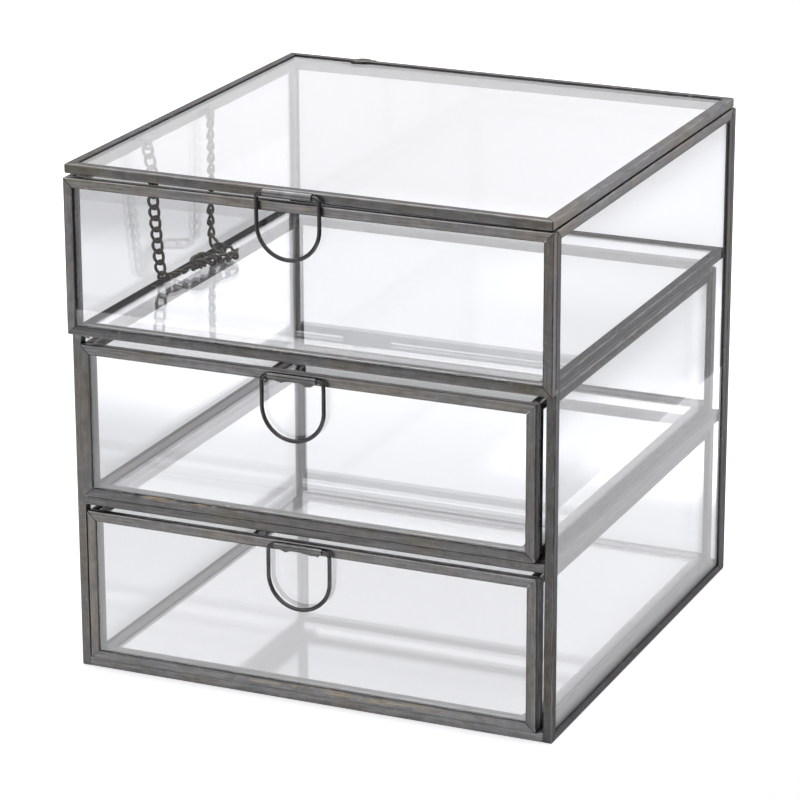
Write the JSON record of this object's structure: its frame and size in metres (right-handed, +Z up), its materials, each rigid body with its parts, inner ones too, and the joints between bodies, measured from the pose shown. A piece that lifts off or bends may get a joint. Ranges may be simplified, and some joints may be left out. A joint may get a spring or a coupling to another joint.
{
  "type": "drawer box",
  "caption": "Glass tabletop drawer box: panes framed in dark metal came, a hinged lid with a chain stay over the top compartment, and drawers below with swinging ring pulls.",
  "frame": {"origin": "under the middle of the whole object, on the surface that it stands on", "axes": "+Z up, front with the ring pulls facing -Y, width along X"},
  "size_m": [0.2, 0.2092, 0.2062],
  "materials": {
    "came": "dark gray-brown patina, worn to brass in spots",
    "glass": "clear float glass",
    "ring_wire": "dark patina, smooth",
    "chain": "dark bronze patina",
    "solder": "dull gray solder",
    "hinge": "dark patina"
  },
  "bodies": {
    "cabinet": {"front_frame": "came", "front_glass": "glass", "floor_frame": "came", "floor_glass": "glass", "left_side_frame": "came", "left_side_glass": "glass", "right_side_frame": "came", "right_side_glass": "glass", "back_frame": "came", "back_glass": "glass", "base_rail": "came", "middle_rail": "came", "left_lower_runner": "came", "left_upper_runner": "came", "right_lower_runner": "came", "right_upper_runner": "came", "left_hinge_leaf": "hinge", "right_hinge_leaf": "hinge", "left_hinge_pin": "hinge", "right_hinge_pin": "hinge", "chain_box_lug": "came", "chain": "chain"},
    "lid": {"lid_frame": "came", "lid_glass": "glass", "lid_pull_tube": "came", "lid_pull_solder": "solder", "left_lid_knuckle": "hinge", "right_lid_knuckle": "hinge", "chain_lid_lug": "came"},
    "lid_ring": {"lid_ring": "ring_wire"},
    "upper_drawer": {"upper_drawer_front_frame": "came", "upper_drawer_front_glass": "glass", "upper_drawer_back_frame": "came", "upper_drawer_back_glass": "glass", "upper_drawer_left_frame": "came", "upper_drawer_left_glass": "glass", "upper_drawer_right_frame": "came", "upper_drawer_right_glass": "glass", "upper_drawer_bottom_frame": "came", "upper_drawer_bottom_glass": "glass", "upper_drawer_pull_tube": "came", "upper_drawer_pull_solder": "solder"},
    "upper_drawer_ring": {"upper_drawer_ring": "ring_wire"},
    "lower_drawer": {"lower_drawer_front_frame": "came", "lower_drawer_front_glass": "glass", "lower_drawer_back_frame": "came", "lower_drawer_back_glass": "glass", "lower_drawer_left_frame": "came", "lower_drawer_left_glass": "glass", "lower_drawer_right_frame": "came", "lower_drawer_right_glass": "glass", "lower_drawer_bottom_frame": "came", "lower_drawer_bottom_glass": "glass", "lower_drawer_pull_tube": "came", "lower_drawer_pull_solder": "solder"},
    "lower_drawer_ring": {"lower_drawer_ring": "ring_wire"}
  },
  "joints": [
    {"name": "lid_hinge", "type": "hinge", "parent": "cabinet", "child": "lid", "pos_m": [0, 0.10315, 0.2028], "axis": [-1, 0, 0], "range_deg": [0, 96], "deforming": ["chain"]},
    {"name": "lid_ring_swing", "type": "hinge", "parent": "lid", "child": "lid_ring", "pos_m": [-0.005, -0.10325, 0.2043], "axis": [-1, 0, 0], "range_deg": [0, 165]},
    {"name": "upper_drawer_slide", "type": "slide", "parent": "cabinet", "child": "upper_drawer", "axis": [0, -1, 0], "range_m": [0, 0.15]},
    {"name": "upper_drawer_ring_swing", "type": "hinge", "parent": "upper_drawer", "child": "upper_drawer_ring", "pos_m": [-0.0046, -0.10175, 0.1329], "axis": [-1, 0, 0], "range_deg": [0, 150]},
    {"name": "lower_drawer_slide", "type": "slide", "parent": "cabinet", "child": "lower_drawer", "axis": [0, -1, 0], "range_m": [0, 0.15]},
    {"name": "lower_drawer_ring_swing", "type": "hinge", "parent": "lower_drawer", "child": "lower_drawer_ring", "pos_m": [-0.0028, -0.10175, 0.0648], "axis": [-1, 0, 0], "range_deg": [0, 150]}
  ]
}
